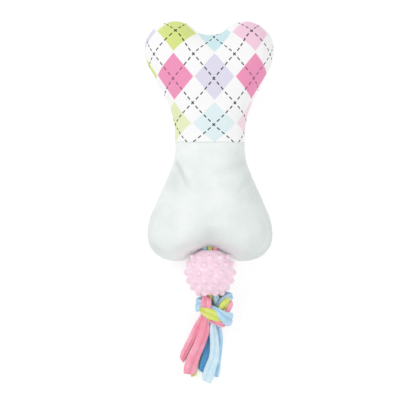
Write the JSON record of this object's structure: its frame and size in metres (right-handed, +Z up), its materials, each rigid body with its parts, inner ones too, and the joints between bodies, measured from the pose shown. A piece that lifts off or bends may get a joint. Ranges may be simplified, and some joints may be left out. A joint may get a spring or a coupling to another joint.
{
  "type": "squeaky plush dog toy",
  "caption": "Stuffed bone-shaped dog toy with a printed half and a plush half, a squeaker inside, and a spiky rubber ball on knotted fleece strands.",
  "frame": {"origin": "on the floor under the middle of the bone's length, on the flat of the bone's back", "axes": "+Y along the bone towards its printed end, +Z up through the bone from its back to its front, +X to the right of someone who looks down at the front with the printed end away from them"},
  "size_m": [0.107, 0.3015, 0.0445],
  "materials": {
    "printed_cotton": "matt printed cotton",
    "plush": "short-pile plush",
    "fibre_fill": "loose fibre",
    "bulb_vinyl": "soft blow-moulded vinyl",
    "reed_plastic": "satin",
    "soft_rubber": "glossy soft rubber",
    "pink_fleece": "brushed fleece",
    "lime_fleece": "brushed fleece",
    "blue_fleece": "brushed fleece"
  },
  "bodies": {
    "bone": {"upper_front_panel": "printed_cotton", "upper_back_panel": "printed_cotton", "lower_front_panel": "plush", "lower_back_panel": "plush", "upper_filling": "fibre_fill", "lower_filling": "fibre_fill", "squeaker_base": "bulb_vinyl", "squeaker_wall": "bulb_vinyl", "squeaker_plug": "reed_plastic", "reed_clamp": "reed_plastic", "blue_anchor": "blue_fleece", "lime_anchor": "lime_fleece", "pink_anchor": "pink_fleece"},
    "crown": {"squeaker_crown": "bulb_vinyl"},
    "reed": {"squeaker_reed": "reed_plastic"},
    "core": {"blue_core": "blue_fleece", "lime_core": "lime_fleece", "pink_core": "pink_fleece"},
    "ball": {"spiky_ball": "soft_rubber"},
    "knot": {"blue_knot": "blue_fleece", "lime_knot": "lime_fleece", "pink_knot": "pink_fleece"},
    "pink_left": {"pink_left_tail": "pink_fleece"},
    "pink_front": {"pink_front_tail": "pink_fleece"},
    "blue_front": {"blue_front_tail": "blue_fleece"},
    "lime": {"lime_tail": "lime_fleece"},
    "blue_back": {"blue_back_tail": "blue_fleece"},
    "blue_right": {"blue_right_tail": "blue_fleece"}
  },
  "joints": [
    {"name": "squeaker_squeeze", "type": "slide", "parent": "bone", "child": "crown", "axis": [0, 0, -1], "range_m": [0, 0.007], "stiffness_N_per_m": 800, "deforming": ["squeaker_wall"]},
    {"name": "reed_buzz", "type": "hinge", "parent": "bone", "child": "reed", "pos_m": [0, -0.0015, 0.01385], "axis": [0, 1, 0], "range_deg": [-4, 4], "stiffness_Nm_per_rad": 0.002},
    {"name": "cord_swing", "type": "hinge", "parent": "bone", "child": "core", "pos_m": [0, -0.08938, 0.022], "axis": [-1, 0, 0], "range_deg": [-25, 25]},
    {"name": "ball_spin", "type": "hinge", "parent": "core", "child": "ball", "pos_m": [0, -0.10958, 0.022], "axis": [0, 1, 0], "continuous": true},
    {"name": "knot_sway", "type": "hinge", "parent": "core", "child": "knot", "pos_m": [0, -0.12919, 0.022], "axis": [0, 0, 1], "range_deg": [-6, 6]},
    {"name": "pink_left_lift", "type": "hinge", "parent": "knot", "child": "pink_left", "pos_m": [-0.0066, -0.14799, 0.0122], "axis": [-1, 0, 0], "range_deg": [0, 50]},
    {"name": "pink_front_lift", "type": "hinge", "parent": "knot", "child": "pink_front", "pos_m": [-0.003, -0.15139, 0.0122], "axis": [-1, 0, 0], "range_deg": [0, 50]},
    {"name": "blue_front_lift", "type": "hinge", "parent": "knot", "child": "blue_front", "pos_m": [0.0026, -0.15619, 0.0122], "axis": [-1, 0, 0], "range_deg": [0, 50]},
    {"name": "lime_drop", "type": "hinge", "parent": "knot", "child": "lime", "pos_m": [-0.003, -0.15239, 0.0075], "axis": [-1, 0, 0], "range_deg": [-60, 0]},
    {"name": "blue_back_drop", "type": "hinge", "parent": "knot", "child": "blue_back", "pos_m": [0.002, -0.15519, 0.0075], "axis": [-1, 0, 0], "range_deg": [-60, 0]},
    {"name": "blue_right_drop", "type": "hinge", "parent": "knot", "child": "blue_right", "pos_m": [0.0073, -0.15719, 0.007], "axis": [-1, 0, 0], "range_deg": [-60, 0]}
  ]
}
